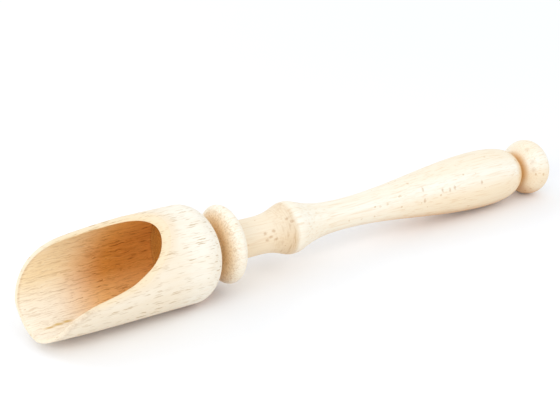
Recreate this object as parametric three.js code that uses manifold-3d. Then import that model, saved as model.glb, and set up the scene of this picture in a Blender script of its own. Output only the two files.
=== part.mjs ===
import * as THREE from 'three';
import { mergeVertices } from 'three/addons/utils/BufferGeometryUtils.js';
import Module from 'manifold-3d';

// A turned beech tea scoop in two pieces: a bored bowl with an open mouth, and a handle
// whose tenon is glued into a blind socket in the bowl's back. Millimetres, +Z up.
// Both pieces are turned about one axis. A station is a distance along it from the lip.

// Bowl: a cup whose wall thins towards the lip and whose back is rounded off.
const bowlRadius = 15;
const wallThickness = 1.8;
const lipThickness = 1.2;
const taperLength = 21;
const shoulderDepth = 9.3;
const shoulderHeight = 11.2;

// Mouth: the slanting cut through the bowl, drawn from the side. The rim's height is from the
// axis where its line meets the lip's plane, and the lip's is from the floor of the bore.
const lipHeight = 1.4;
const rimHeight = -0.2;
const rimAngle = THREE.MathUtils.degToRad(16.2);
const noseLead = 5.8;
const noseTail = 8.6;
const rimLength = 12.9;
const sweepLead = 5.1;
const sweepTail = 7.7;

// Behind the mouth: bore under a whole roof, then the solid back up to where it rounds off.
const roofLength = 4.9;
const backLength = 3;

// Glued joint: the tenon in its blind socket, with a web of wood left before the bore, and the
// flat ring where the collar seats on the bowl.
const tenonRadius = 4;
const tenonChamfer = 0.8;
const webThickness = 3;
const seatWidth = 1.6;
const glueGap = 0.3;
const socketSpare = 0.7;

// Handle: collar bead, straight neck, flare up to a soft ridge, waist, swelling grip, groove
// and knob. A lead or tail is how far a curve pulls along the radius it starts or ends on.
const collarLand = 1.15;
const collarWidth = 6.9;
const collarRadius = 12.2;
const neckRadius = 6;
const neckLength = 8.5;
const flareLength = 11.9;
const flareLead = 7;
const ridgeRadius = 8.4;
const ridgeLead = 3.4;
const ridgeTail = 3.5;
const ridgeToWaist = 20.8;
const waistLead = 15;
const waistRadius = 4.95;
const waistToBelly = 60;
const swellLead = 21;
const bellyLead = 20;
const bellyRadius = 9.85;
const bellyToGroove = 16.4;
const gripRound = 3.8;
const gripShoulder = 2.9;
const grooveRadius = 4;
const grooveWidth = 1.6;
const knobLength = 11.5;
const knobRadius = 9.7;
const knobRound = 1.25;
const knobShoulder = 1;
const knobCap = 5;

// As it lies: the mouth is rolled a little towards -Y.
const mouthRoll = THREE.MathUtils.degToRad(22.4);

// Facets round the axis, and along each curve.
const bowlSides = 56;
const handleSides = 40;
const curveSteps = 7;

const boreRadius = bowlRadius - wallThickness;
const lipRadius = boreRadius + lipThickness;
const socketRadius = tenonRadius + glueGap;
const seatRadius = tenonRadius + seatWidth;

// Stations of the bowl, each from the one before it.
const noseEnd = noseLead + noseTail;
const sweepStart = noseEnd + rimLength;
const sweepCorner = sweepStart + sweepLead;
const mouthEnd = sweepCorner + sweepTail;
const boreEnd = mouthEnd + roofLength;
const wallEnd = boreEnd + backLength;

// The shoulder is part of an ellipse, which stops at the flat seat ring.
const shoulderCentre = bowlRadius - shoulderHeight;
const shoulderEnd = Math.asin((seatRadius - shoulderCentre) / shoulderHeight);
const shoulderSweep = Math.PI / 2 - shoulderEnd;
const bowlEnd = wallEnd + shoulderDepth * Math.sin(shoulderSweep);
const socketEnd = boreEnd + webThickness;

// Stations of the handle, each from the one before it.
const tenonTip = socketEnd + socketSpare;
const collarSeat = bowlEnd + glueGap;
const collarMid = collarSeat + collarLand + collarWidth / 2;
const flareStart = collarMid + collarWidth / 2 + neckLength;
const ridge = flareStart + flareLength;
const waist = ridge + ridgeToWaist;
const belly = waist + waistToBelly;
const gripEnd = belly + bellyToGroove;
const knobStart = gripEnd + grooveWidth;
const knobMid = knobStart + knobLength / 2;
const knobEnd = knobStart + knobLength;

const wasm = await Module();
wasm.setup();

// Turns a profile of (radius, station) about the X axis.
function turned(profile, sides) {
  const geometry = new THREE.LatheGeometry(profile.getPoints(curveSteps), sides);
  geometry.rotateZ(-Math.PI / 2);
  return geometry;
}

// A closed solid from a geometry, without the flat triangles that lie on the turning axis.
function solid(geometry) {
  const bare = geometry.clone();
  bare.deleteAttribute('normal');
  bare.deleteAttribute('uv');
  const merged = mergeVertices(bare);
  const corners = merged.index.array;
  const triangles = [];
  for (let i = 0; i < corners.length; i += 3) {
    const [a, b, c] = corners.subarray(i, i + 3);
    if (a !== b && b !== c && c !== a) {
      triangles.push(a, b, c);
    }
  }
  const vertProperties = merged.attributes.position.array;
  const triVerts = new Uint32Array(triangles);
  return new wasm.Manifold(new wasm.Mesh({ numProp: 3, vertProperties, triVerts }));
}

function geometryOf(body) {
  const { vertProperties, triVerts } = body.getMesh();
  const geometry = new THREE.BufferGeometry();
  geometry.setAttribute('position', new THREE.BufferAttribute(vertProperties, 3));
  geometry.setIndex(new THREE.BufferAttribute(triVerts, 1));
  geometry.computeVertexNormals();
  return geometry;
}

// The cup: bore, lip, tapered wall, rounded shoulder, seat ring and blind socket.
function cupProfile() {
  const path = new THREE.Path();
  path.moveTo(0, boreEnd);
  path.lineTo(boreRadius, boreEnd);
  path.lineTo(boreRadius, 0);
  path.lineTo(lipRadius, 0);
  path.quadraticCurveTo(bowlRadius, taperLength / 2, bowlRadius, taperLength);
  path.absellipse(shoulderCentre, wallEnd, shoulderHeight, shoulderDepth, 0, shoulderSweep, false, 0);
  path.lineTo(socketRadius, bowlEnd);
  path.lineTo(socketRadius, socketEnd);
  path.lineTo(0, socketEnd);
  return path;
}

// What the mouth takes away, drawn in (station, height): a round nose at the lip, a straight
// rim that rises towards the back, and a sweep up to the top of the bowl. It reaches one bowl
// diameter past the axis in front, above and to both sides.
function mouthCutter() {
  const rim = (station) => rimHeight + station * Math.tan(rimAngle);
  const lipFloor = lipHeight - boreRadius;
  const reach = 2 * bowlRadius;
  const shape = new THREE.Shape();
  shape.moveTo(-reach, lipFloor);
  shape.lineTo(0, lipFloor);
  shape.quadraticCurveTo(noseLead, rim(noseLead), noseEnd, rim(noseEnd));
  shape.lineTo(sweepStart, rim(sweepStart));
  shape.quadraticCurveTo(sweepCorner, rim(sweepCorner), mouthEnd, bowlRadius);
  shape.lineTo(mouthEnd, reach);
  shape.lineTo(-reach, reach);
  const geometry = new THREE.ExtrudeGeometry(shape, {
    depth: 2 * reach,
    bevelEnabled: false,
    curveSegments: curveSteps,
  });
  geometry.translate(0, 0, -reach);
  geometry.rotateX(Math.PI / 2);
  return geometry;
}

// The handle's turned outline, from the tip of the tenon to the end of the knob.
function handleProfile() {
  const collarHeight = collarRadius - seatRadius;
  const collarStop = Math.acos((neckRadius - seatRadius) / collarHeight);
  const gripTurn = grooveRadius + gripShoulder;
  const knobTurn = grooveRadius + knobShoulder;
  const path = new THREE.Path();
  path.moveTo(0, tenonTip);
  path.lineTo(tenonRadius - tenonChamfer, tenonTip);
  path.lineTo(tenonRadius, tenonTip + tenonChamfer);
  path.lineTo(tenonRadius, collarSeat);
  path.lineTo(seatRadius, collarSeat);
  path.absellipse(seatRadius, collarMid, collarHeight, collarWidth / 2, -Math.PI / 2, collarStop, false, 0);
  path.lineTo(neckRadius, flareStart);
  path.bezierCurveTo(neckRadius, flareStart + flareLead, ridgeRadius, ridge - ridgeLead, ridgeRadius, ridge);
  path.bezierCurveTo(ridgeRadius, ridge + ridgeTail, waistRadius, waist - waistLead, waistRadius, waist);
  path.bezierCurveTo(waistRadius, waist + swellLead, bellyRadius, belly - bellyLead, bellyRadius, belly);
  path.bezierCurveTo(bellyRadius, gripEnd - gripRound, gripTurn, gripEnd, grooveRadius, gripEnd);
  path.lineTo(grooveRadius, knobStart);
  path.bezierCurveTo(knobTurn, knobStart, knobRadius, knobStart + knobRound, knobRadius, knobMid);
  path.bezierCurveTo(knobRadius, knobEnd - knobRound, knobCap, knobEnd, 0, knobEnd);
  return path;
}

function piece(name, geometry, color) {
  const material = new THREE.MeshStandardMaterial({ color, roughness: 0.55, metalness: 0 });
  const mesh = new THREE.Mesh(geometry, material);
  mesh.name = name;
  return mesh;
}

// On a flat top the scoop lies on the back of its bowl and on its belly or its knob,
// whichever meets the top first.
function restTilt() {
  const toBelly = Math.asin((bowlRadius - bellyRadius) / (belly - wallEnd));
  const toKnob = Math.asin((bowlRadius - knobRadius) / (knobMid - wallEnd));
  return Math.min(toBelly, toKnob);
}

const cup = solid(turned(cupProfile(), bowlSides)).subtract(solid(mouthCutter()));

const turning = new THREE.Group();
turning.add(piece('bowl', geometryOf(cup), '#f3e3c6'));
turning.add(piece('handle', turned(handleProfile(), handleSides), '#f1dfbf'));
turning.rotation.x = mouthRoll;

const lying = new THREE.Group();
lying.add(turning);
lying.rotation.y = restTilt();

// The origin is on the surface it lies on, under the middle of its box.
const scoop = new THREE.Group();
scoop.add(lying);
const box = new THREE.Box3().setFromObject(scoop, true);
const middle = box.getCenter(new THREE.Vector3());
lying.position.set(-middle.x, -middle.y, -box.min.z);

export default scoop;
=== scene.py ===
import math

import bmesh
import bpy
from mathutils import Matrix, Vector
from mathutils.geometry import interpolate_bezier


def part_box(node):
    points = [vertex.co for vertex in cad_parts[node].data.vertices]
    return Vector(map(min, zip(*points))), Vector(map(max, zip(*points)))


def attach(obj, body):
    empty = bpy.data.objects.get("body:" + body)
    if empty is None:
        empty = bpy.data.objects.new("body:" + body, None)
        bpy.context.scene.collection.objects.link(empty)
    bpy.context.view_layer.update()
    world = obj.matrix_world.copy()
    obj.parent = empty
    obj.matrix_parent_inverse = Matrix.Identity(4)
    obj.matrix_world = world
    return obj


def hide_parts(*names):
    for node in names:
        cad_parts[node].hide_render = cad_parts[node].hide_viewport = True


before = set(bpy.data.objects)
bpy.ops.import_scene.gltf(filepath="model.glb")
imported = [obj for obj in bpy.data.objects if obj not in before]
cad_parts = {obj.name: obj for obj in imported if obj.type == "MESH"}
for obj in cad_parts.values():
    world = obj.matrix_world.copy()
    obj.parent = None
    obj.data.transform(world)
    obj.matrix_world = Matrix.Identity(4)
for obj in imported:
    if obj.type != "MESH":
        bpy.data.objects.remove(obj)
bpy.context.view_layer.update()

# A turned beech tea scoop that lies on a white table: a bored bowl with a slanting mouth, and
# a beaded handle glued into its back. Sizes are in millimetres until the meshes are made.
# Both pieces are turned about one axis. A station is a distance along it from the lip.

MM = 0.001

# Bowl
BOWL_RADIUS = 15
WALL_THICKNESS = 1.8
LIP_THICKNESS = 1.2
TAPER_LENGTH = 21
SHOULDER_DEPTH = 9.3
SHOULDER_HEIGHT = 11.2

# Mouth, drawn from the side
LIP_HEIGHT = 1.4
RIM_HEIGHT = -0.2
RIM_SLOPE = math.tan(math.radians(16.2))
NOSE_LEAD = 5.8
NOSE_TAIL = 8.6
RIM_LENGTH = 12.9
SWEEP_LEAD = 5.1
SWEEP_TAIL = 7.7
ROOF_LENGTH = 4.9
BACK_LENGTH = 3

# The mouth is sanded by hand, so its rim strays a little from the drawn line. Each stray is an
# angle from the lowest line of the bowl, a half width in degrees and a length along the axis.
RIM_STRAYS = ((193, 35, -0.35), (243, 13, 2), (268, 20, -1.5))

# Glued joint
TENON_RADIUS = 4
TENON_CHAMFER = 0.8
WEB_THICKNESS = 3
SEAT_WIDTH = 1.6
GLUE_GAP = 0.3
SOCKET_SPARE = 0.7

# Handle
COLLAR_LAND = 1.15
COLLAR_WIDTH = 6.9
COLLAR_RADIUS = 12.2
NECK_RADIUS = 6
NECK_LENGTH = 8.5
FLARE_LENGTH = 11.9
FLARE_LEAD = 7
RIDGE_RADIUS = 8.4
RIDGE_LEAD = 3.4
RIDGE_TAIL = 3.5
RIDGE_TO_WAIST = 20.8
WAIST_LEAD = 15
WAIST_RADIUS = 4.95
WAIST_TO_BELLY = 60
SWELL_LEAD = 21
BELLY_LEAD = 20
BELLY_RADIUS = 9.85
BELLY_TO_GROOVE = 16.4
GRIP_ROUND = 3.8
GRIP_SHOULDER = 2.9
GROOVE_RADIUS = 4
GROOVE_WIDTH = 1.6
KNOB_LENGTH = 11.5
KNOB_RADIUS = 9.7
KNOB_ROUND = 1.25
KNOB_SHOULDER = 1
KNOB_CAP = 5
MOUTH_ROLL = math.radians(22.4)

# Softened edges, which the sanding leaves
RIM_OUTER_ROUND = 0.6
RIM_INNER_ROUND = 0.42
BORE_FILLET = 0.4

# Mesh fineness. The bowl's section starts with three points at the socket and the seat ring.
SEAT_ROWS = 3
RIM_COLUMNS = 184
RIM_SAMPLES = 20
RIM_ROUNDS = 12
BEVEL_SEGMENTS = 4
WALL_ROWS = 10
SHOULDER_ROWS = 18
FILLET_ROWS = 6
END_ROWS = 5
NECK_ROWS = 4
HANDLE_COLUMNS = 112
CURVE_STEPS = 26

BORE_RADIUS = BOWL_RADIUS - WALL_THICKNESS
LIP_RADIUS = BORE_RADIUS + LIP_THICKNESS
LIP_FLOOR = LIP_HEIGHT - BORE_RADIUS
SOCKET_RADIUS = TENON_RADIUS + GLUE_GAP
SEAT_RADIUS = TENON_RADIUS + SEAT_WIDTH

# Stations of the bowl
NOSE_END = NOSE_LEAD + NOSE_TAIL
SWEEP_START = NOSE_END + RIM_LENGTH
SWEEP_CORNER = SWEEP_START + SWEEP_LEAD
MOUTH_END = SWEEP_CORNER + SWEEP_TAIL
BORE_END = MOUTH_END + ROOF_LENGTH
WALL_END = BORE_END + BACK_LENGTH
SOCKET_END = BORE_END + WEB_THICKNESS
SHOULDER_CENTRE = BOWL_RADIUS - SHOULDER_HEIGHT
SHOULDER_SWEEP = math.acos((SEAT_RADIUS - SHOULDER_CENTRE) / SHOULDER_HEIGHT)
BOWL_END = WALL_END + SHOULDER_DEPTH * math.sin(SHOULDER_SWEEP)

# Stations of the handle
TENON_TIP = SOCKET_END + SOCKET_SPARE
COLLAR_SEAT = BOWL_END + GLUE_GAP
COLLAR_MID = COLLAR_SEAT + COLLAR_LAND + COLLAR_WIDTH / 2
FLARE_START = COLLAR_MID + COLLAR_WIDTH / 2 + NECK_LENGTH
RIDGE = FLARE_START + FLARE_LENGTH
WAIST = RIDGE + RIDGE_TO_WAIST
BELLY = WAIST + WAIST_TO_BELLY
GRIP_END = BELLY + BELLY_TO_GROOVE
KNOB_START = GRIP_END + GROOVE_WIDTH
KNOB_MID = KNOB_START + KNOB_LENGTH / 2
KNOB_END = KNOB_START + KNOB_LENGTH

# The scoop lies on the back of its bowl and on its knob, with the mouth rolled to the front.
REST_TILT = math.asin((BOWL_RADIUS - KNOB_RADIUS) / (KNOB_MID - WALL_END))
LIP_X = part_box("handle")[1].x - KNOB_END * MM * math.cos(REST_TILT)
LIP_Z = (BOWL_RADIUS * math.cos(REST_TILT) + WALL_END * math.sin(REST_TILT)) * MM
AS_IT_LIES = (
    Matrix.Translation((LIP_X, 0, LIP_Z))
    @ Matrix.Rotation(REST_TILT, 4, "Y")
    @ Matrix.Rotation(MOUTH_ROLL, 4, "X")
)


# Shapes

def mix(a, b, share):
    return a + (b - a) * share


def quadratic(a, b, c, share):
    return (1 - share) ** 2 * a + 2 * share * (1 - share) * b + share**2 * c


def quadratic_share(a, b, c, value):
    """How far along a rising quadratic curve its height reaches a value."""
    bend = a - 2 * b + c
    slope = 2 * (b - a)
    return (math.sqrt(slope**2 - 4 * bend * (a - value)) - slope) / (2 * bend)


def rim_line(station):
    return RIM_HEIGHT + station * RIM_SLOPE


def mouth_station(height):
    """Where along the axis the mouth's cut has that height above the axis."""
    if height <= LIP_FLOOR:
        return 0.0
    if height <= rim_line(NOSE_END):
        share = quadratic_share(LIP_FLOOR, rim_line(NOSE_LEAD), rim_line(NOSE_END), height)
        return quadratic(0, NOSE_LEAD, NOSE_END, share)
    if height <= rim_line(SWEEP_START):
        return (height - RIM_HEIGHT) / RIM_SLOPE
    top = min(height, BOWL_RADIUS)
    share = quadratic_share(rim_line(SWEEP_START), rim_line(SWEEP_CORNER), BOWL_RADIUS, top)
    return quadratic(SWEEP_START, SWEEP_CORNER, MOUTH_END, share)


def outer_radius(station):
    """The bowl's wall thins towards the lip."""
    before = max(0.0, 1 - station / TAPER_LENGTH)
    return BOWL_RADIUS - (BOWL_RADIUS - LIP_RADIUS) * before**2


def rim_stray(angle):
    """How far along the axis the sanded rim lies from the drawn one."""
    length = 0.0
    for middle, half_width, most in RIM_STRAYS:
        away = min(1.0, abs(math.degrees(angle) - middle) / half_width)
        length += most * math.cos(math.pi / 2 * away) ** 2
    return length


def rim_outside(angle):
    """Station of the rim's outer edge, at an angle from the lowest line of the bowl.

    The wall's radius there depends on the station, so it is found in a few rounds.
    """
    station = 0.0
    for _ in range(RIM_ROUNDS):
        station = mouth_station(-outer_radius(station) * math.cos(angle)) + rim_stray(angle)
    return station


def rim_inside(angle):
    return mouth_station(-BORE_RADIUS * math.cos(angle)) + rim_stray(angle)


def at(station, radius, angle):
    """A point of a turned piece, in its own frame: X along the axis, the mouth towards +Z."""
    return Vector((station, radius * math.sin(angle), -radius * math.cos(angle)))


def rim_angles(count):
    """Angles round the bowl that divide its rim into equal steps."""
    samples = RIM_SAMPLES * count
    fine = [math.tau * i / samples for i in range(samples + 1)]
    edge = [at(rim_outside(a), outer_radius(rim_outside(a)), a) for a in fine]
    walked = [0.0]
    for here, there in zip(edge, edge[1:]):
        walked.append(walked[-1] + (there - here).length)
    angles = []
    i = 0
    for step in range(count):
        goal = walked[-1] * step / count
        while walked[i + 1] < goal:
            i += 1
        share = (goal - walked[i]) / (walked[i + 1] - walked[i])
        angles.append(mix(fine[i], fine[i + 1], share))
    return angles


def bowl_column(angle):
    """The bowl's section at an angle: (station, radius) from the socket out, round the rim and in."""
    column = [(SOCKET_END, SOCKET_RADIUS), (BOWL_END, SOCKET_RADIUS), (BOWL_END, SEAT_RADIUS)]
    for row in range(1, SHOULDER_ROWS):
        turn = SHOULDER_SWEEP * (1 - row / SHOULDER_ROWS)
        station = WALL_END + SHOULDER_DEPTH * math.sin(turn)
        column.append((station, SHOULDER_CENTRE + SHOULDER_HEIGHT * math.cos(turn)))
    for row in range(WALL_ROWS + 1):
        station = mix(WALL_END, rim_outside(angle), row / WALL_ROWS)
        column.append((station, outer_radius(station)))
    for row in range(WALL_ROWS + 1):
        station = mix(rim_inside(angle), BORE_END - BORE_FILLET, row / WALL_ROWS)
        column.append((station, BORE_RADIUS))
    for row in range(1, FILLET_ROWS + 1):
        turn = math.pi / 2 * row / FILLET_ROWS
        station = BORE_END - BORE_FILLET * (1 - math.sin(turn))
        column.append((station, BORE_RADIUS - BORE_FILLET * (1 - math.cos(turn))))
    for row in range(1, END_ROWS):
        column.append((BORE_END, (BORE_RADIUS - BORE_FILLET) * (1 - row / END_ROWS)))
    return column


def curve(start, first, second, end):
    """Points of a cubic curve in (station, radius), without its first."""
    knots = [Vector((*p, 0)) for p in (start, first, second, end)]
    return [(p.x, p.y) for p in interpolate_bezier(*knots, CURVE_STEPS)[1:]]


def handle_section():
    """The handle's turned outline, from the tip of the tenon to the end of the knob."""
    line = [(TENON_TIP, TENON_RADIUS - TENON_CHAMFER), (TENON_TIP + TENON_CHAMFER, TENON_RADIUS)]
    line += [(COLLAR_SEAT, TENON_RADIUS), (COLLAR_SEAT, SEAT_RADIUS)]
    bulge = COLLAR_RADIUS - SEAT_RADIUS
    stop = math.acos((NECK_RADIUS - SEAT_RADIUS) / bulge)
    for i in range(2 * CURVE_STEPS + 1):
        turn = mix(-math.pi / 2, stop, i / (2 * CURVE_STEPS))
        station = COLLAR_MID + COLLAR_WIDTH / 2 * math.sin(turn)
        line.append((station, SEAT_RADIUS + bulge * math.cos(turn)))
    for row in range(1, NECK_ROWS + 1):
        station = mix(COLLAR_MID + COLLAR_WIDTH / 2, FLARE_START, row / NECK_ROWS)
        line.append((station, NECK_RADIUS))
    line += curve(
        (FLARE_START, NECK_RADIUS), (FLARE_START + FLARE_LEAD, NECK_RADIUS),
        (RIDGE - RIDGE_LEAD, RIDGE_RADIUS), (RIDGE, RIDGE_RADIUS),
    )
    line += curve(
        (RIDGE, RIDGE_RADIUS), (RIDGE + RIDGE_TAIL, RIDGE_RADIUS),
        (WAIST - WAIST_LEAD, WAIST_RADIUS), (WAIST, WAIST_RADIUS),
    )
    line += curve(
        (WAIST, WAIST_RADIUS), (WAIST + SWELL_LEAD, WAIST_RADIUS),
        (BELLY - BELLY_LEAD, BELLY_RADIUS), (BELLY, BELLY_RADIUS),
    )
    line += curve(
        (BELLY, BELLY_RADIUS), (GRIP_END - GRIP_ROUND, BELLY_RADIUS),
        (GRIP_END, GROOVE_RADIUS + GRIP_SHOULDER), (GRIP_END, GROOVE_RADIUS),
    )
    line.append((KNOB_START, GROOVE_RADIUS))
    line += curve(
        (KNOB_START, GROOVE_RADIUS), (KNOB_START, GROOVE_RADIUS + KNOB_SHOULDER),
        (KNOB_START + KNOB_ROUND, KNOB_RADIUS), (KNOB_MID, KNOB_RADIUS),
    )
    line += curve(
        (KNOB_MID, KNOB_RADIUS), (KNOB_END - KNOB_ROUND, KNOB_RADIUS),
        (KNOB_END, KNOB_CAP), (KNOB_END, 0),
    )[:-1]
    return line


def skin(name, columns, angles, first_end, last_end):
    """A closed mesh through the columns of a piece, with a point on the axis at both ends."""
    built = bmesh.new()
    rings = []
    for row in range(len(columns[0])):
        spots = [at(*column[row], a) for column, a in zip(columns, angles)]
        rings.append([built.verts.new(AS_IT_LIES @ (spot * MM)) for spot in spots])
    first = built.verts.new(AS_IT_LIES @ Vector((first_end * MM, 0, 0)))
    last = built.verts.new(AS_IT_LIES @ Vector((last_end * MM, 0, 0)))
    for i in range(len(angles)):
        j = (i + 1) % len(angles)
        built.faces.new((first, rings[0][i], rings[0][j]))
        built.faces.new((last, rings[-1][j], rings[-1][i]))
        for near, far in zip(rings, rings[1:]):
            built.faces.new((near[i], far[i], far[j], near[j]))
    bmesh.ops.recalc_face_normals(built, faces=built.faces)
    mesh = bpy.data.meshes.new(name)
    built.to_mesh(mesh)
    built.free()
    mesh.shade_smooth()
    piece = bpy.data.objects.new(name, mesh)
    bpy.context.scene.collection.objects.link(piece)
    return piece


def round_rim(piece, columns, row, width):
    """Softens one of the rim's two edges, the ring of points at a row."""
    count = len(columns)
    ring = set(range(row * count, (row + 1) * count))
    weight = piece.data.attributes.get("bevel_weight_edge")
    if weight is None:
        weight = piece.data.attributes.new("bevel_weight_edge", "FLOAT", "EDGE")
    for edge in piece.data.edges:
        if set(edge.vertices) <= ring:
            weight.data[edge.index].value = width / RIM_OUTER_ROUND


def note_rim(piece, columns, angles, outer_row):
    """Stores how far each point is from the rim, in millimetres: above 0 outside, below 0 inside."""
    count = len(columns)
    values = []
    for row in range(len(columns[0])):
        side = 1 if row <= outer_row else -1
        rim_row = outer_row if row <= outer_row else outer_row + 1
        for i, column in enumerate(columns):
            before, after = columns[i - 1][rim_row], columns[(i + 1) % count][rim_row]
            arc = column[rim_row][1] * ((angles[(i + 1) % count] - angles[i - 1]) % math.tau)
            lean = arc / math.hypot(arc, after[0] - before[0])
            values.append(side * lean * (column[row][0] - column[rim_row][0]))
    far = 2 * BOWL_RADIUS
    values += [far, -far]
    nearness = piece.data.attributes.new("rim_distance", "FLOAT", "POINT")
    nearness.data.foreach_set("value", values)


def make_bowl():
    angles = rim_angles(RIM_COLUMNS)
    columns = [bowl_column(a) for a in angles]
    piece = skin("scoop_bowl", columns, angles, SOCKET_END, BORE_END)
    outer_row = SEAT_ROWS + SHOULDER_ROWS + WALL_ROWS - 1
    note_rim(piece, columns, angles, outer_row)
    round_rim(piece, columns, outer_row, RIM_OUTER_ROUND)
    round_rim(piece, columns, outer_row + 1, RIM_INNER_ROUND)
    soften = piece.modifiers.new("sanded_rim", "BEVEL")
    soften.limit_method = "WEIGHT"
    soften.width = RIM_OUTER_ROUND * MM
    soften.segments = BEVEL_SEGMENTS
    soften.use_clamp_overlap = False
    return piece


def make_handle():
    angles = [math.tau * i / HANDLE_COLUMNS for i in range(HANDLE_COLUMNS)]
    section = handle_section()
    return skin("scoop_handle", [section] * HANDLE_COLUMNS, angles, TENON_TIP, KNOB_END)


# Beech

# Colours, red, green and blue as they are seen, from 0 to 255
PALE = (250, 248, 237)
WARM = (249, 244, 229)
# Painted shade on the top of the grip
CROWN_SHADE = (247, 235, 212)
BOWL_PALE = (249, 245, 233)
BOWL_WARM = (247, 240, 224)
LINE = (236, 214, 183)
STRAND = (236, 218, 190)
FLECK = (210, 192, 162)
DOT = (230, 215, 190)
# Painted shade on the lower sides of the grip
SIDE_SHADE = (245, 227, 197)
# Painted shade: browner undersides, where less light reaches, on the bowl and the grip
UNDERSIDE_SHADE = (212, 158, 102)
# The neck's own tan with painted shade, darker low down and on the flare that faces the bowl
NECK = (242, 223, 193)
FLARE_TAN_AND_SHADE = (224, 198, 162)
# Painted shade and warm bounce light in the grooves
GROOVE_SHADE = (231, 181, 109)
KNOB_GROOVE_SHADE = (225, 182, 122)
ROUGH = (204, 152, 84)
# Painted warm light, bounced from the bore, on the rim's inner rounding
RIM_BOUNCE_LIGHT = (236, 215, 176)
RIM_SIDE = (239, 220, 190)
# Painted shade line just inside the rim at the lip
LIP_SHADE_LINE = (222, 194, 156)
NOSE_SHADE = (222, 204, 180)
# The bore's tones below are partly the wood's own tone and partly painted light and shade: the far
# wall, the deep part and the end carry painted shade, the lit tone and the floor painted light.
BORE_FRONT = (251, 243, 226)
BORE_WALL_SHADE = (246, 222, 178)
BORE_DEEP = (216, 148, 65)
BORE_LIT = (254, 204, 119)
BORE_FLOOR_LIGHT = (254, 206, 138)
BORE_END_SHADE = (194, 138, 60)
END_GRAIN = (166, 108, 44)
BORE_FLECK = (165, 96, 29)
STREAK = (218, 186, 122)
SPOT = (196, 158, 108)

# Marks of the grain that stand out, each (station, angle from the lowest line of the bowl)
NECK_SPOTS = (
    (74, -140), (77, -142), (75.7, -127), (74.3, -120), (77.4, -117), (82.2, -163), (83.3, -153),
)
GRIP_SPOTS = ((148.6, -135), (143.6, -136), (146.5, -133), (160, -133), (136.3, -149), (136.4, -120))
KNOB_SPOTS = ((186.7, -149), (186.5, -128), (187.1, 177))
STREAK_PLACES = ((6, -15.8), (8.8, -13.9), (11.6, -12.3))
BORE_DASHES = ((33.5, 57.5), (37.4, 51), (42.3, 56), (28.8, 87), (41.9, 69))


def colour(seen):
    """A seen colour as the linear one that a shader takes."""
    parts = [c / 255 for c in seen]
    linear = [p / 12.92 if p <= 0.04045 else ((p + 0.055) / 1.055) ** 2.4 for p in parts]
    return (*linear, 1)


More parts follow.
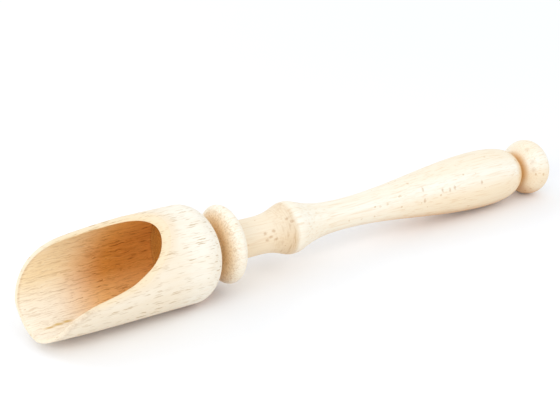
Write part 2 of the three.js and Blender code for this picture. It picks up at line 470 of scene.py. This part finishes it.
class Shader:
    """Adds nodes to a shader. An input takes a number, a vector, a colour or another output."""

    def __init__(self, tree):
        self.tree = tree

    def add(self, kind, inputs, **settings):
        made = self.tree.nodes.new("ShaderNode" + kind)
        for name, value in settings.items():
            setattr(made, name, value)
        for socket, value in inputs.items():
            if isinstance(value, bpy.types.NodeSocket):
                self.tree.links.new(value, made.inputs[socket])
            else:
                made.inputs[socket].default_value = value
        return made

    def calculate(self, operation, *values):
        return self.add("Math", dict(enumerate(values)), operation=operation).outputs[0]

    def vector(self, operation, *values):
        return self.add("VectorMath", dict(enumerate(values)), operation=operation).outputs[0]

    def length(self, value):
        return self.add("VectorMath", {0: value}, operation="LENGTH").outputs["Value"]

    def most(self, first, *others):
        for other in others:
            first = self.calculate("MAXIMUM", first, other)
        return first

    def product(self, first, *others):
        for other in others:
            first = self.calculate("MULTIPLY", first, other)
        return first

    def fade(self, value, low, high, start=0.0, end=1.0):
        """Goes smoothly from start to end as a value goes from low to high."""
        inputs = {"Value": value, "From Min": low, "From Max": high, "To Min": start, "To Max": end}
        return self.add("MapRange", inputs, interpolation_type="SMOOTHSTEP").outputs[0]

    def fall(self, value, low, high, start=1.0, end=0.0):
        """The same from 1 down to 0, or from another start to another end."""
        return self.fade(value, low, high, start, end)

    def tint(self, share, below, above, way="MIX"):
        inputs = {0: share, 6: below, 7: above}
        return self.add("Mix", inputs, data_type="RGBA", blend_type=way).outputs[2]

    def turned_frame(self, turn=0.0):
        """Millimetres in a turned piece's frame: X is the station, +Z is towards the mouth."""
        inputs = {
            "Vector": self.add("TexCoord", {}).outputs["Object"],
            "Location": (LIP_X, 0, LIP_Z),
            "Rotation": (MOUTH_ROLL + turn, REST_TILT, 0),
            "Scale": (MM, MM, MM),
        }
        return self.add("Mapping", inputs, vector_type="TEXTURE").outputs[0]

    def stretched(self, spot, lengths):
        """Coordinates in which one unit is that many millimetres along each axis."""
        return self.vector("MULTIPLY", spot, [1 / length for length in lengths])

    def noise(self, spot, lengths, detail=2.0, roughness=0.5, output=0):
        inputs = {"Vector": self.stretched(spot, lengths), "Scale": 1.0}
        inputs.update({"Detail": detail, "Roughness": roughness})
        return self.add("TexNoise", inputs).outputs[output]

    def wobble(self, spot, lengths):
        """A vector that wanders smoothly about zero, over that many millimetres along each axis."""
        return self.vector("SUBTRACT", self.noise(spot, lengths, output=1), (0.5, 0.5, 0.5))

    def rays(self, log, spacing, size, share):
        """Wood rays: thin lens shapes along the grain, of which a share is dark."""
        wander_lengths = (2.2, 1.5, 3)
        wander_amounts = (0.5, 1.3, 0.5)
        smallest, largest = 0.55, 1.25
        wander = self.wobble(log, wander_lengths)
        places = self.vector("MULTIPLY_ADD", wander, wander_amounts, self.stretched(log, spacing))
        cells = self.add("TexVoronoi", {"Vector": places, "Scale": 1.0}, feature="F1")
        chance, other, _ = self.add("SeparateColor", {0: cells.outputs["Color"]}).outputs
        scale = self.fade(other, 0.0, 1.0, smallest, largest)
        reach = self.calculate("DIVIDE", cells.outputs["Distance"], scale)
        return self.product(self.fall(reach, size / 2, size), self.fade(chance, 1 - share, 1.0))

    def uneven(self, spot, size, amount):
        """Coordinates that wobble by an amount, so that what is placed in them is irregular."""
        wobble = self.wobble(spot, (size, size, size))
        return self.vector("MULTIPLY_ADD", wobble, (amount, amount, amount), spot)

    def height_share(self):
        """How high a place is round the piece that it is on: -1 straight down, 1 straight up."""
        upright = self.turned_frame(-MOUTH_ROLL)
        radius = self.length(self.vector("MULTIPLY", upright, (0, 1, 1)))
        return self.calculate("DIVIDE", self.add("SeparateXYZ", {0: upright}).outputs[2], radius)

    def seen(self):
        """1 for what the eye sees, straight or in a gloss or a glass, and 0 for the light."""
        path = self.add("LightPath", {}).outputs
        return self.most(path["Is Camera Ray"], path["Is Glossy Ray"], path["Is Transmission Ray"])

    def spots(self, spot, places, radius_at, half_size):
        """Soft spots at a few places on a turned surface, each 1 in its middle."""
        masks = []
        for station, angle in places:
            middle = at(station, radius_at(station), math.radians(angle))
            offset = self.stretched(self.vector("SUBTRACT", spot, middle), half_size)
            masks.append(self.fall(self.length(offset), 0.1, 1.0))
        return self.most(*masks)


def handle_radius(station):
    """The handle's radius at a station, from its outline."""
    outline = handle_section()
    for (x0, r0), (x1, r1) in zip(outline, outline[1:]):
        if x0 <= station <= x1 and x1 > x0:
            return mix(r0, r1, (station - x0) / (x1 - x0))
    return 0.0


def bore_radius(station):
    """The bore is straight, so its radius is the same at every station."""
    return BORE_RADIUS


def against(seen, ground):
    """The colour that turns one seen colour into another when they are multiplied."""
    return [a / b for a, b in zip(colour(seen), colour(ground))]


def beech(name, log_turn, pale, warm):
    """The start of a sanded beech: its shader, the log's frame, plain wood colour and fibres."""
    patch_size = (30, 8, 8)
    fibre_size = (9, 0.34, 0.34)
    sway_size = (45, 9, 9)
    ring_spacing = 2.3
    ring_sway = 9.0
    ring_strength = 0.16
    hair_strength = 0.42
    material = bpy.data.materials.new(name)
    material.use_nodes = True
    shader = Shader(material.node_tree)
    log = shader.turned_frame(log_turn)
    across = shader.add("SeparateXYZ", {0: log}).outputs[2]
    patches = shader.fade(shader.noise(log, patch_size), 0.35, 0.65)
    fibres = shader.noise(log, fibre_size, detail=3.0, roughness=0.6)
    sway = shader.noise(log, sway_size, detail=1.0)
    turns = shader.calculate("MULTIPLY", across, math.tau / ring_spacing)
    ring = shader.calculate("SINE", shader.calculate("MULTIPLY_ADD", sway, ring_sway, turns))
    rings = shader.fade(ring, 0.0, 1.0, end=ring_strength)
    hairs = shader.fade(fibres, 0.5, 0.78, end=hair_strength)
    wood = shader.tint(patches, colour(pale), colour(warm))
    wood = shader.tint(shader.most(rings, hairs), wood, colour(LINE))
    return material, shader, log, wood, fibres


def finish(material, shader, wood, fibres, dark, fleck):
    """Darkens the rays, and gives the surface its colour, gloss and fine relief."""
    ray_depth = -0.8
    relief_strength = 0.4
    relief_height = 0.1 * MM
    smoothest, roughest = 0.5, 0.68
    wood = shader.tint(dark, wood, fleck, "MULTIPLY")
    relief = shader.calculate("MULTIPLY_ADD", dark, ray_depth, fibres)
    bump_inputs = {"Height": relief, "Strength": relief_strength, "Distance": relief_height}
    bump = shader.add("Bump", bump_inputs)
    roughness = shader.fade(fibres, 0.3, 0.7, smoothest, roughest)
    surface = material.node_tree.nodes["Principled BSDF"].inputs
    shader.tree.links.new(wood, surface["Base Color"])
    shader.tree.links.new(bump.outputs[0], surface["Normal"])
    shader.tree.links.new(roughness, surface["Roughness"])
    surface["Specular IOR Level"].default_value = 0.3
    return material


class BowlPlace:
    """Where a point of the bowl is, in millimetres in the turned frame.

    The side is below 0 on the near half, up is towards the mouth, the edge is the distance from
    the rim, and inside is 1 on the bore and 0 elsewhere.
    """

    def __init__(self, shader):
        self.spot = shader.turned_frame()
        self.station, self.side, self.up = shader.add("SeparateXYZ", {0: self.spot}).outputs
        self.radius = shader.length(shader.vector("MULTIPLY", self.spot, (0, 1, 1)))
        self.edge = shader.add("Attribute", {}, attribute_name="rim_distance").outputs["Fac"]
        self.inside = shader.product(
            shader.fall(self.radius, BORE_RADIUS, BORE_RADIUS + 0.1),
            shader.fall(self.station, BORE_END, BORE_END + 0.2),
        )


def bowl_flecks(shader, log):
    """Long dashes of the rays, with fainter ticks between them."""
    tick_strength = 0.5
    dashes = shader.rays(log, spacing=(4.8, 0.42, 2.0), size=0.4, share=0.75)
    ticks = shader.rays(log, spacing=(3.6, 0.34, 1.8), size=0.42, share=0.9)
    return shader.most(dashes, shader.product(ticks, tick_strength))


def nose_shade_mottle(shader, place):
    """How much painted shade, mottled like the ends of fibres, lies on the near side of the mouth's
    round nose.
    """
    nose_start, nose_end = (2, 6), (11, 16)
    near_side = (-8, -3)
    off_bore = (BORE_RADIUS + 0.3, BORE_RADIUS + 0.9)
    by_rim = (0.3, 2.2)
    fibre_ends = (0.8, 0.8, 0.8)
    return shader.product(
        shader.fade(place.station, *nose_start),
        shader.fall(place.station, *nose_end),
        shader.fall(place.side, *near_side, start=0.85),
        shader.fade(place.radius, *off_bore),
        shader.fall(place.edge, *by_rim),
        shader.fade(shader.noise(place.spot, fibre_ends), 0.38, 0.62, start=0.45),
    )


def bowl_outside(shader, wood, place):
    """Painted shade underneath, tan beside the mouth, painted warm bounce light on the rim and
    painted shade with a mottle on the nose.
    """
    underside = (-0.98, -0.74)
    off_rim = (1, 8)
    after_lip = (5, 16)
    far_side = (0, 8)
    roof = (37, 48)
    rim_wall = (BORE_RADIUS, BORE_RADIUS + 1.3)
    band_width = 5.0
    line_width = 0.25
    # Painted shade: browner towards the bottom of the bowl
    under_shade = shader.product(
        shader.fall(shader.height_share(), *underside, start=0.9),
        shader.fade(place.edge, *off_rim),
    )
    wood = shader.tint(under_shade, wood, colour(UNDERSIDE_SHADE))
    past_lip = shader.most(
        shader.fade(place.station, *after_lip, start=0.25),
        shader.fade(place.side, *far_side, end=0.35),
    )
    beside = shader.most(
        shader.product(shader.fall(place.edge, 0.0, band_width, start=0.75), past_lip),
        shader.fall(place.station, *roof, start=0.5),
    )
    wood = shader.tint(beside, wood, colour(RIM_SIDE))
    # Painted warm bounce light along the rim's inner edge
    rim = shader.product(
        shader.fall(place.edge, 0.0, line_width),
        shader.fall(place.radius, *rim_wall, start=0.95, end=0.35),
        past_lip,
    )
    wood = shader.tint(rim, wood, colour(RIM_BOUNCE_LIGHT))
    # Painted shade on the nose, mottled like the ends of fibres
    return shader.tint(nose_shade_mottle(shader, place), wood, colour(NOSE_SHADE))


def bore_depth(shader, place):
    """0 in the pale front of the bore and 1 in its brown part, which is partly painted shade and
    starts further in higher up.
    """
    lean = -0.41
    pale_until, brown_from = 14, 33
    leaning = shader.calculate("MULTIPLY_ADD", place.up, lean, place.station)
    return shader.fade(leaning, pale_until, brown_from)


def bore_front(shader, place):
    """The pale front of the bore, with painted shade on its far wall."""
    above_floor = (-15, -6)
    to_far_side = (-8, 0)
    # Painted shade: tanner on the far wall, above the floor
    tan = shader.product(
        shader.fade(place.up, *above_floor),
        shader.fade(place.side, *to_far_side, start=0.1),
    )
    return shader.tint(tan, colour(BORE_FRONT), colour(BORE_WALL_SHADE))


def bore_deep(shader, place):
    """The brown part of the bore, partly browner wood and partly painted shade, with painted light
    high up, on its floor and towards its end.
    """
    upper_part = (-7, 8)
    last_part = (31, 42)
    floor = (-14.6, -9.2)
    # Painted light high up and towards the end of the bore
    lit = shader.most(
        shader.fade(place.up, *upper_part),
        shader.fade(place.station, *last_part, end=0.2),
    )
    deep = shader.tint(lit, colour(BORE_DEEP), colour(BORE_LIT))
    # Painted light on the bore's floor
    return shader.tint(shader.fall(place.up, *floor), deep, colour(BORE_FLOOR_LIGHT))


def bore_end_grain(shader, log, place):
    """The drill's fine rings and the pores on the bore's end."""
    ring_spacing = 1.3
    ring_strength = 0.3
    pore_size = (0.5, 0.3, 0.9)
    pore_strength = 0.5
    turns = shader.calculate("MULTIPLY", place.radius, math.tau / ring_spacing)
    rings = shader.fade(shader.calculate("SINE", turns), -0.2, 1.0, end=ring_strength)
    pores = shader.fade(shader.noise(log, pore_size), 0.5, 0.7, end=pore_strength)
    return shader.most(rings, pores)


def bore_lip_shade_line(shader, place):
    """A painted shade line just inside the rim, near the lip and stronger on its far side."""
    inside_rim = (-1.2, -0.3)
    near_lip = (6, 20)
    far_side = (-2, 9)
    return shader.product(
        shader.fade(place.edge, *inside_rim),
        shader.fall(place.station, *near_lip, start=0.55),
        shader.fade(place.side, *far_side, start=0.15),
    )


def bore_tone(shader, log, place, depth):
    """The bore's colour: pale in front, browner with painted shade deeper in, with painted shade on
    its end and a painted shade line at the lip.
    """
    tone = shader.tint(depth, bore_front(shader, place), bore_deep(shader, place))
    # Painted shade on the bore's end
    at_end = shader.fade(place.station, BORE_END - 0.8, BORE_END - 0.05)
    tone = shader.tint(at_end, tone, colour(BORE_END_SHADE))
    end_grain = shader.product(bore_end_grain(shader, log, place), at_end)
    tone = shader.tint(end_grain, tone, colour(END_GRAIN))
    return shader.tint(bore_lip_shade_line(shader, place), tone, colour(LIP_SHADE_LINE))


def bore_grain(shader, wood, place, depth):
    """Long hairs and strokes in the bore, and the marks of its grain that stand out."""
    strand_size = (7, 0.34, 0.34)
    stroke_size = (6, 0.42, 0.42)
    hair_strength = 0.54
    sheen_strength = 0.3
    wavy = shader.uneven(place.spot, size=3.0, amount=1.1)
    streak = shader.spots(wavy, STREAK_PLACES, bore_radius, half_size=(2.9, 0.95, 0.95))
    wood = shader.tint(streak, wood, colour(STREAK))
    strands = shader.noise(wavy, strand_size)
    hairs = shader.product(
        shader.fade(strands, 0.48, 0.72, end=hair_strength),
        shader.fade(depth, 0.0, 1.0, start=0.75),
    )
    strokes = shader.product(
        shader.fade(shader.noise(wavy, stroke_size, detail=1.0), 0.64, 0.74),
        shader.fade(depth, 0.0, 1.0, start=0.45),
    )
    dashes = shader.spots(wavy, BORE_DASHES, bore_radius, half_size=(2.2, 0.36, 0.36))
    grain = shader.product(shader.most(hairs, strokes, dashes), place.inside)
    wood = shader.tint(grain, wood, against(BORE_FLECK, BORE_DEEP), "MULTIPLY")
    sheen = shader.product(shader.fall(strands, 0.28, 0.46, start=sheen_strength), place.inside)
    return shader.tint(sheen, wood, shader.tint(depth, colour(BORE_FRONT), colour(BORE_LIT)))


def bowl_wood():
    """Beech with painted warm bounce light along the rim, and a bore that is browner towards its end,
    partly with painted shade.
    """
    log_turn = math.radians(35)
    share_in_bore = 0.35
    material, shader, log, wood, fibres = beech("bowl_beech", log_turn, BOWL_PALE, BOWL_WARM)
    place = BowlPlace(shader)
    depth = bore_depth(shader, place)
    wood = bowl_outside(shader, wood, place)
    wood = shader.tint(place.inside, wood, bore_tone(shader, log, place, depth))
    wood = bore_grain(shader, wood, place, depth)
    fainter = shader.fall(place.inside, 0.0, 1.0, end=share_in_bore)
    flecks = shader.product(bowl_flecks(shader, log), fainter)
    return finish(material, shader, wood, fibres, flecks, against(FLECK, BOWL_PALE))


def grip_shades(shader, wood, station, height):
    """Painted shade on the lower sides, underneath and on the top of the grip, all stronger towards
    its end.
    """
    swell = (WAIST, WAIST + 40)
    knob_tip = (KNOB_END - 3, KNOB_END - 0.8)
    sides = (-0.05, 0.65)
    bottom = (-0.95, -0.4)
    top = (0.7, 0.98)
    along = shader.product(
        shader.fade(station, *swell, start=0.35, end=0.95),
        shader.fall(station, *knob_tip),
    )
    # Painted shade on the lower sides
    side = shader.product(shader.fall(height, *sides), along)
    wood = shader.tint(side, wood, colour(SIDE_SHADE))
    # Painted shade: browner underneath the grip
    under_shade = shader.product(shader.fall(height, *bottom, start=0.7), along)
    wood = shader.tint(under_shade, wood, colour(UNDERSIDE_SHADE))
    # Painted shade on the top
    top_shade = shader.product(shader.fade(height, *top, end=0.8), along)
    return shader.tint(top_shade, wood, colour(CROWN_SHADE))


def neck_share(shader, station, height):
    """1 on the neck's tan and painted shade, from the collar to just before the ridge, and less on
    its top.
    """
    collar_end = (COLLAR_MID + 1.5, COLLAR_MID + COLLAR_WIDTH / 2)
    before_ridge = (RIDGE - 2.4, RIDGE - 0.3)
    towards_top = (-0.3, 1.0)
    return shader.product(
        shader.fade(station, *collar_end),
        shader.fall(station, *before_ridge),
        shader.fall(height, *towards_top, end=0.55),
    )


def tan_and_shade_neck(shader, wood, spot, station, neck):
    """The neck's tan with painted shade, darker on the flare that faces the bowl, and the fine lines
    that the turning left on its flare.
    """
    line_size = (0.45, 3, 3)
    line_strength = 0.95
    tan = shader.tint(shader.fade(station, FLARE_START, RIDGE), colour(NECK), colour(FLARE_TAN_AND_SHADE))
    wood = shader.tint(neck, wood, tan)
    turning = shader.product(
        shader.fade(shader.noise(spot, line_size), 0.46, 0.68, end=line_strength),
        neck,
        shader.fade(station, FLARE_START, RIDGE - 3),
    )
    return shader.tint(turning, wood, against(FLARE_TAN_AND_SHADE, NECK), "MULTIPLY")


def shade_grooves(shader, wood, spot, station):
    """Painted shade and warm bounce light in the grooves at the knob and at the bowl, and torn fibres
    on the collar.
    """
    grip_end = (GRIP_END - 6, GRIP_END)
    knob_start = (KNOB_START - 0.2, KNOB_START + 1.1)
    collar_foot = (COLLAR_SEAT, COLLAR_MID - 1)
    collar_front = (COLLAR_MID - 2, COLLAR_MID)
    tear_size = (3.2, 0.5, 0.5)
    # Painted shade in the groove at the knob
    knob_groove = shader.product(shader.fade(station, *grip_end), shader.fall(station, *knob_start))
    wood = shader.tint(knob_groove, wood, colour(KNOB_GROOVE_SHADE))
    # Painted shade in the groove at the bowl
    wood = shader.tint(shader.fall(station, *collar_foot), wood, colour(GROOVE_SHADE))
    torn = shader.product(
        shader.fade(shader.noise(spot, tear_size), 0.46, 0.64),
        shader.fall(station, *collar_front, start=0.6),
    )
    return shader.tint(torn, wood, against(ROUGH, GROOVE_SHADE), "MULTIPLY")


def handle_spots(shader, spot):
    """The spots on the neck, the grip and the knob that stand out."""
    strength = 0.52
    knob_strength = 0.5
    wavy = shader.uneven(spot, size=0.8, amount=1.0)
    on_neck = shader.spots(wavy, NECK_SPOTS, handle_radius, half_size=(1.0, 0.8, 0.8))
    on_grip = shader.spots(wavy, GRIP_SPOTS, handle_radius, half_size=(0.65, 1.2, 1.2))
    on_knob = shader.spots(wavy, KNOB_SPOTS, handle_radius, half_size=(1.5, 1.4, 1.4))
    on_knob = shader.product(on_knob, knob_strength)
    return shader.product(shader.most(on_neck, on_grip, on_knob), strength)


def handle_wood():
    """Beech with a tan neck, two tight grooves that are browner, and the dots of its rays' ends."""
    log_turn = math.radians(120)
    strand_size = (11, 0.45, 0.45)
    strand_strength = 0.63
    material, shader, log, wood, fibres = beech("handle_beech", log_turn, PALE, WARM)
    spot = shader.turned_frame()
    station = shader.add("SeparateXYZ", {0: spot}).outputs[0]
    height = shader.height_share()
    neck = neck_share(shader, station, height)
    wood = grip_shades(shader, wood, station, height)
    wood = tan_and_shade_neck(shader, wood, spot, station, neck)
    strands = shader.product(
        shader.fade(shader.noise(log, strand_size), 0.5, 0.72, end=strand_strength),
        shader.fall(neck, 0.0, 1.0, end=0.6),
    )
    wood = shader.tint(strands, wood, against(STRAND, WARM), "MULTIPLY")
    wood = shade_grooves(shader, wood, spot, station)
    wood = shader.tint(handle_spots(shader, spot), wood, against(SPOT, PALE), "MULTIPLY")
    dots = shader.rays(log, spacing=(2.6, 2.0, 2.0), size=0.25, share=0.36)
    return finish(material, shader, wood, fibres, dots, against(DOT, PALE))


# Stage

def make_camera():
    azimuth = math.radians(-34.336)
    elevation = math.radians(24.759)
    distance = 0.35585
    focal_in_pixels = 1150
    picture_width = 560
    aim = Vector((-0.01471, 0, 0.02038))
    back = Vector((
        math.sin(azimuth) * math.cos(elevation),
        -math.cos(azimuth) * math.cos(elevation),
        math.sin(elevation),
    ))
    data = bpy.data.cameras.new("camera")
    data.lens = focal_in_pixels / picture_width * data.sensor_width
    camera = bpy.data.objects.new("camera", data)
    camera.location = aim + back * distance
    camera.rotation_mode = "QUATERNION"
    camera.rotation_quaternion = (-back).to_track_quat("-Z", "Y")
    bpy.context.scene.collection.objects.link(camera)
    bpy.context.scene.camera = camera


def make_floor():
    """A white table. To the eye it glows a little, and more where the lamps no longer reach."""
    size = 3.0
    white = (0.93, 0.942, 0.965, 1)
    cool_white = (0.6, 0.78, 1, 1)
    near_glow = 0.03
    far_glow = 0.3
    lamps_reach = 0.15
    lamps_end = 0.8
    mesh = bpy.data.meshes.new("floor")
    corners = [(-size, -size, 0), (size, -size, 0), (size, size, 0), (-size, size, 0)]
    mesh.from_pydata(corners, [], [(0, 1, 2, 3)])
    floor = bpy.data.objects.new("floor", mesh)
    bpy.context.scene.collection.objects.link(floor)
    material = bpy.data.materials.new("white_table")
    material.use_nodes = True
    shader = Shader(material.node_tree)
    shader.tree.nodes.clear()
    paint = shader.add("BsdfDiffuse", {"Color": white})
    away = shader.length(shader.add("TexCoord", {}).outputs["Object"])
    brightness = shader.fade(away, lamps_reach, lamps_end, near_glow, far_glow)
    strength = shader.calculate("MULTIPLY", shader.seen(), brightness)
    glow = shader.add("Emission", {"Color": cool_white, "Strength": strength})
    both = shader.add("AddShader", {0: paint.outputs[0], 1: glow.outputs[0]})
    shader.add("OutputMaterial", {"Surface": both.outputs[0]})
    mesh.materials.append(material)


def make_softbox(name, direction, energy):
    """A soft square lamp that faces the scoop from a direction."""
    distance = 0.7
    data = bpy.data.lights.new(name, "AREA")
    data.shape = "SQUARE"
    data.size = 0.35
    data.energy = energy
    lamp = bpy.data.objects.new(name, data)
    away = Vector(direction).normalized()
    lamp.location = away * distance
    lamp.rotation_mode = "QUATERNION"
    lamp.rotation_quaternion = (-away).to_track_quat("-Z", "Y")
    bpy.context.scene.collection.objects.link(lamp)


def make_light():
    """A white tent all round, with weak soft lamps on each side of the camera and behind."""
    tent_light = 0.85
    tent_seen = 1.0
    world = bpy.data.worlds.new("tent")
    world.use_nodes = True
    sky = world.node_tree.nodes["Background"]
    sky.inputs["Color"].default_value = (1, 1, 1, 1)
    shader = Shader(world.node_tree)
    strength = shader.fade(shader.seen(), 0.0, 1.0, tent_light, tent_seen)
    shader.tree.links.new(strength, sky.inputs["Strength"])
    bpy.context.scene.world = world
    make_softbox("softbox_right", (0.5, -0.6, 0.75), energy=0.6)
    make_softbox("softbox_left", (-0.85, -0.4, 0.5), energy=1.1)
    make_softbox("softbox_behind", (-0.4, 0.7, 0.7), energy=0.6)


bpy.context.scene.view_settings.view_transform = "Standard"
make_camera()
make_floor()
make_light()
bowl = make_bowl()
handle = make_handle()
bowl.data.materials.append(bowl_wood())
handle.data.materials.append(handle_wood())
for piece, node, slot in ((bowl, "bowl", "bowl_wood"), (handle, "handle", "handle_wood")):
    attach(piece, "root")
    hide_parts(node)
